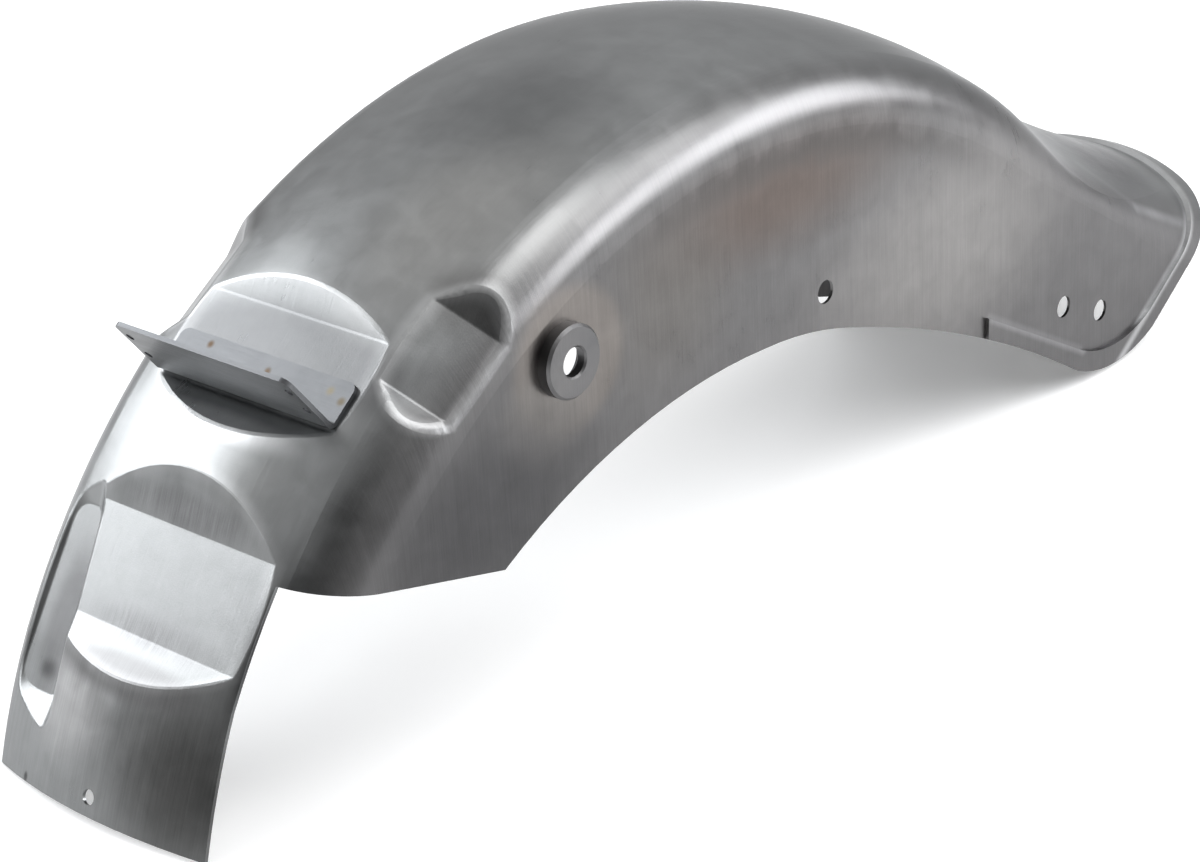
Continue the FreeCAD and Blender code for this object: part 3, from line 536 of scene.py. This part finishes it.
def makeShellSteel(setup):
    material, tree, surface, place = newSteel("shellSteel")
    axes = splitAxes(tree, place)
    across = doMath(tree, "ABSOLUTE", axes["Y"])
    bothSides = joinAxes(tree, axes["X"], across, axes["Z"])
    onSkirt = remap(tree, across, setup["skirtEdge"], (0.0, 1.0), soft=True)
    fromAxle = vectorMath(tree, "SUBTRACT", place, (wheelAxis["x"], 0.0, wheelAxis["z"]))
    axleAxes = splitAxes(tree, fromAxle)
    radius = vectorMath(tree, "LENGTH", joinAxes(tree, axleAxes["X"], 0.0, axleAxes["Z"]))

    # The skirts are brushed up and down, the crown and the apron along the hoop.
    skirtPlace = joinAxes(tree, axes["X"], axes["Z"], axes["Y"])
    crownPlace = joinAxes(tree, axes["Y"], axes["Z"], axes["X"])
    skirtLines = useGroup(tree, brushLines, {"Vector": skirtPlace, **setup["brush"]})
    crownLines = useGroup(tree, brushLines, {"Vector": crownPlace, **setup["brush"]})
    seatLines = useGroup(tree, brushLines, {"Vector": crownPlace, **setup["seatBrush"]})
    lines = blend(tree, onSkirt, crownLines, skirtLines)
    clouds = useGroup(tree, cloudMottle, {"Vector": place, **setup["clouds"]})
    patina = useGroup(tree, cloudMottle, {"Vector": skirtPlace, **setup["patina"]})

    color = mixColors(tree, clouds, (*setup["darkSteel"], 1), (*setup["paleSteel"], 1))
    # The skirts take the darker copy of the steel, as painted shade.
    color = mixColors(tree, onSkirt, color, (*setup["skirtShadedSteel"], 1))
    # The marks paint tints and ground patches, and also painted shade and painted light where their names
    # say so.
    for mark in shellMarks.values():
        where = bothSides if "bothSides" in mark else place
        color = paint(tree, color, findSpot(tree, where, mark), mark)
    # Painted shade in a band under the shoulders.
    color = paintShoulderShade(tree, color, place, radius, patina, onSkirt)
    # Painted highlight lines on the strip and the tail creases.
    for mark in shellHighlightLines.values():
        start, end = Vector(mark["start"]), Vector(mark["end"])
        mask = useGroup(tree, lineMark, {
            "Vector": bothSides, "Start": start, "Run": end - start, "Width": mark["width"]})
        color = paint(tree, color, mask, mark)
    # Painted shade crescents beside the lower seat's bends, streaked with drawing lines.
    for mark in shellShadeCrescents.values():
        cover = doMath(tree, "MULTIPLY", findSpot(tree, place, mark), seatLines)
        color = mixColors(tree, cover, color, (*setup["crescentShadeStreak"], 1))
    # Painted highlights on the seat rims.
    color = paintSeatRimHighlights(tree, color, fromAxle, findCrownDepth(tree, across, radius))
    # Painted highlight along the lip's edge strip.
    color = paintLipHighlight(tree, color, fromAxle)
    color = mixColors(tree, 1.0, color, findBrushShade(tree, place, lines, onSkirt), "MULTIPLY")
    fleck = remap(tree, patina, (0.0, 1.0), setup["patinaColor"])
    feed(tree, surface.inputs["Base Color"], mixColors(tree, 1.0, color, fleck, "MULTIPLY"))
    surface.inputs["Specular Tint"].default_value = (*setup["edgeTint"], 1)

    dull = remap(tree, clouds, (0.0, 1.0), setup["roughness"])
    streak = doMath(tree, "MULTIPLY", lines, setup["brushRoughness"])
    streak = doMath(tree, "ADD", streak, doMath(tree, "MULTIPLY", patina, setup["patinaRoughness"]))
    feed(tree, surface.inputs["Roughness"], doMath(tree, "ADD", dull, streak))

    grain = addNode(tree, "ShaderNodeTexNoise", {"Vector": place, **setup["grain"]}).outputs["Fac"]
    raiseBump(tree, surface, doMath(tree, "ADD", lines, grain), setup["bump"])
    return material


bracketFinish = {
    "paleSteel": (0.135, 0.139, 0.145),
    "darkSteel": (0.1, 0.103, 0.108),
    "roughness": (0.3, 0.38),
    "clouds": {"Scale": 45.0, "Detail": 5.0},
    "brush": {"Across": 1600.0, "Along": 60.0},
    "brushRoughness": 0.08,
    "bump": {"strength": 0.08, "distance": 0.0002},
}

# Heat spots over the bracket's welds.
bracketMarks = {
    "leftWeld": {
        "centre": (-0.246, 0.032, 0.158), "radii": (0.0026, 0.0026, 0.003), "softness": 0.8,
        "color": (0.06, 0.038, 0.02), "cover": 0.9},
    "middleWeld": {
        "centre": (-0.249, -0.004, 0.157), "radii": (0.0026, 0.0026, 0.003), "softness": 0.8,
        "color": (0.07, 0.045, 0.025), "cover": 0.85},
    "rightWeldHigh": {
        "centre": (-0.248, -0.0395, 0.157), "radii": (0.003, 0.003, 0.003), "softness": 0.9,
        "color": (0.14, 0.115, 0.065), "cover": 0.6},
    "rightWeldLow": {
        "centre": (-0.25, -0.0475, 0.155), "radii": (0.003, 0.003, 0.003), "softness": 0.8,
        "color": (0.09, 0.068, 0.035), "cover": 0.7},
}

bossFinish = {
    "paleSteel": (0.138, 0.136, 0.137),
    "darkSteel": (0.105, 0.105, 0.108),
    "roughness": (0.3, 0.42),
    "clouds": {"Scale": 60.0, "Detail": 5.0},
    "brush": {"Across": 1600.0, "Along": 60.0},
    "brushRoughness": 0.08,
    "bump": {"strength": 0.2, "distance": 0.0002},
}


def makeSmallSteel(name, setup, marks):
    material, tree, surface, place = newSteel(name)
    clouds = useGroup(tree, cloudMottle, {"Vector": place, **setup["clouds"]})
    lines = useGroup(tree, brushLines, {"Vector": place, **setup["brush"]})
    color = mixColors(tree, clouds, (*setup["darkSteel"], 1), (*setup["paleSteel"], 1))
    for mark in marks.values():
        color = paint(tree, color, findSpot(tree, place, mark), mark)
    feed(tree, surface.inputs["Base Color"], color)
    dull = remap(tree, clouds, (0.0, 1.0), setup["roughness"])
    streak = doMath(tree, "MULTIPLY", lines, setup["brushRoughness"])
    feed(tree, surface.inputs["Roughness"], doMath(tree, "ADD", dull, streak))
    raiseBump(tree, surface, doMath(tree, "ADD", lines, clouds), setup["bump"])
    return material


makeCamera(cameraSetup)
makeSky(skySetup)
makeFloor(floorSetup)
makeLamps(lampSetups)
dressNode("fender_shell", makeShellSteel(shellFinish))
dressNode("cross_bracket", makeSmallSteel("bracketSteel", bracketFinish, bracketMarks))
dressNode("boss_left", makeSmallSteel("bossSteel", bossFinish, {}))
dressNode("boss_right", makeSmallSteel("bossSteelFar", bossFinish, {}))

bpy.context.scene.view_settings.view_transform = "Standard"
